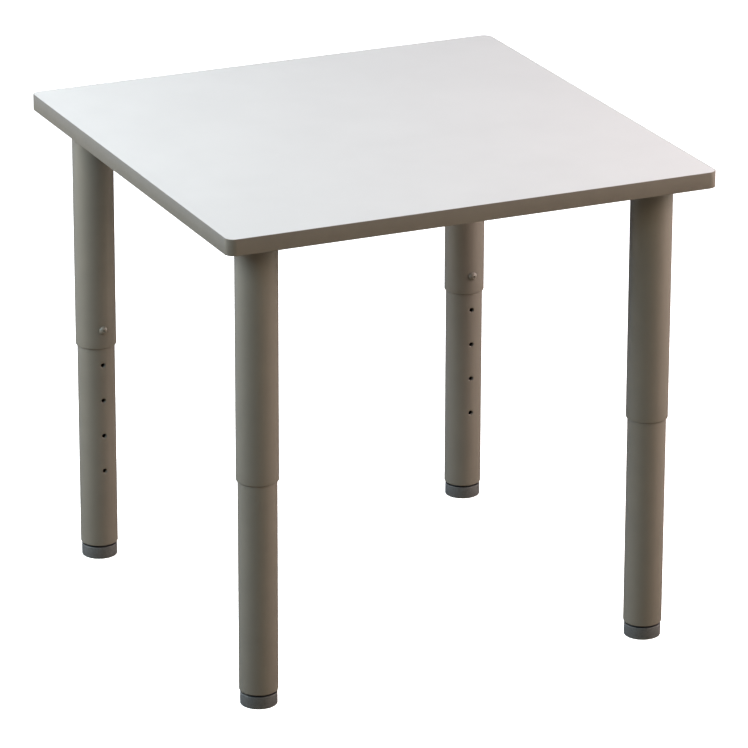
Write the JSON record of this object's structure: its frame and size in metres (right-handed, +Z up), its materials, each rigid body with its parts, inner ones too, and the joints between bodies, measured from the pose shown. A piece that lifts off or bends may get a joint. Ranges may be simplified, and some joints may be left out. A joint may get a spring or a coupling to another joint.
{
  "type": "height-adjustable activity table",
  "caption": "Square laminate-topped table on round telescoping legs, each set in height by a screw in a row of holes, with levelling feet.",
  "frame": {"origin": "on the floor, under the middle of the tabletop", "axes": "+Z up; +X along the front edge, to the right as seen from the front; +Y to the rear"},
  "size_m": [0.8, 0.8, 0.7674],
  "materials": {
    "white_laminate": "white high-pressure laminate, fine satin texture",
    "backer_laminate": "off-white balancing laminate",
    "board": "pressed wood board, sealed all round",
    "edge_band": "taupe edge band, fine grained",
    "painted_tube": "taupe powder coat, satin",
    "zinc_steel": "bright zinc plating",
    "foot_plastic": "dark grey moulded plastic",
    "inner_plastic": "black moulded plastic"
  },
  "bodies": {
    "table": {"tabletop_core": "board", "top_laminate": "white_laminate", "underside_laminate": "backer_laminate", "edge_band": "edge_band", "front_left_mounting_plate": "painted_tube", "front_left_plate_screws": "zinc_steel", "front_left_threaded_sleeves": "zinc_steel", "front_left_upper_tube": "painted_tube", "front_right_mounting_plate": "painted_tube", "front_right_plate_screws": "zinc_steel", "front_right_threaded_sleeves": "zinc_steel", "front_right_upper_tube": "painted_tube", "rear_left_mounting_plate": "painted_tube", "rear_left_plate_screws": "zinc_steel", "rear_left_threaded_sleeves": "zinc_steel", "rear_left_upper_tube": "painted_tube", "rear_right_mounting_plate": "painted_tube", "rear_right_plate_screws": "zinc_steel", "rear_right_threaded_sleeves": "zinc_steel", "rear_right_upper_tube": "painted_tube"},
    "front_left_leg": {"front_left_lower_tube": "painted_tube", "front_left_guide_cap": "inner_plastic", "front_left_foot_socket": "inner_plastic", "front_left_foot_nut": "zinc_steel"},
    "front_left_foot": {"front_left_foot_stem": "zinc_steel", "front_left_foot_pad": "foot_plastic"},
    "front_left_lock": {"front_left_lock_screw": "painted_tube"},
    "front_right_leg": {"front_right_lower_tube": "painted_tube", "front_right_guide_cap": "inner_plastic", "front_right_foot_socket": "inner_plastic", "front_right_foot_nut": "zinc_steel"},
    "front_right_foot": {"front_right_foot_stem": "zinc_steel", "front_right_foot_pad": "foot_plastic"},
    "front_right_lock": {"front_right_lock_screw": "painted_tube"},
    "rear_left_leg": {"rear_left_lower_tube": "painted_tube", "rear_left_guide_cap": "inner_plastic", "rear_left_foot_socket": "inner_plastic", "rear_left_foot_nut": "zinc_steel"},
    "rear_left_foot": {"rear_left_foot_stem": "zinc_steel", "rear_left_foot_pad": "foot_plastic"},
    "rear_left_lock": {"rear_left_lock_screw": "painted_tube"},
    "rear_right_leg": {"rear_right_lower_tube": "painted_tube", "rear_right_guide_cap": "inner_plastic", "rear_right_foot_socket": "inner_plastic", "rear_right_foot_nut": "zinc_steel"},
    "rear_right_foot": {"rear_right_foot_stem": "zinc_steel", "rear_right_foot_pad": "foot_plastic"},
    "rear_right_lock": {"rear_right_lock_screw": "painted_tube"}
  },
  "joints": [
    {"name": "front_left_leg_slide", "type": "slide", "parent": "table", "child": "front_left_leg", "axis": [0, 0, 1], "range_m": [0, 0.24]},
    {"name": "front_left_foot_level", "type": "slide", "parent": "front_left_leg", "child": "front_left_foot", "axis": [0, 0, 1], "range_m": [-0.012, 0.0025]},
    {"name": "front_left_lock_withdraw", "type": "slide", "parent": "table", "child": "front_left_lock", "axis": [0, 1, 0], "range_m": [0, 0.014]},
    {"name": "front_right_leg_slide", "type": "slide", "parent": "table", "child": "front_right_leg", "axis": [0, 0, 1], "range_m": [0, 0.24]},
    {"name": "front_right_foot_level", "type": "slide", "parent": "front_right_leg", "child": "front_right_foot", "axis": [0, 0, 1], "range_m": [-0.012, 0.0025]},
    {"name": "front_right_lock_withdraw", "type": "slide", "parent": "table", "child": "front_right_lock", "axis": [0, 1, 0], "range_m": [0, 0.014]},
    {"name": "rear_left_leg_slide", "type": "slide", "parent": "table", "child": "rear_left_leg", "axis": [0, 0, 1], "range_m": [0, 0.24]},
    {"name": "rear_left_foot_level", "type": "slide", "parent": "rear_left_leg", "child": "rear_left_foot", "axis": [0, 0, 1], "range_m": [-0.012, 0.0025]},
    {"name": "rear_left_lock_withdraw", "type": "slide", "parent": "table", "child": "rear_left_lock", "axis": [0, -1, 0], "range_m": [0, 0.014]},
    {"name": "rear_right_leg_slide", "type": "slide", "parent": "table", "child": "rear_right_leg", "axis": [0, 0, 1], "range_m": [0, 0.24]},
    {"name": "rear_right_foot_level", "type": "slide", "parent": "rear_right_leg", "child": "rear_right_foot", "axis": [0, 0, 1], "range_m": [-0.012, 0.0025]},
    {"name": "rear_right_lock_withdraw", "type": "slide", "parent": "table", "child": "rear_right_lock", "axis": [0, -1, 0], "range_m": [0, 0.014]}
  ]
}
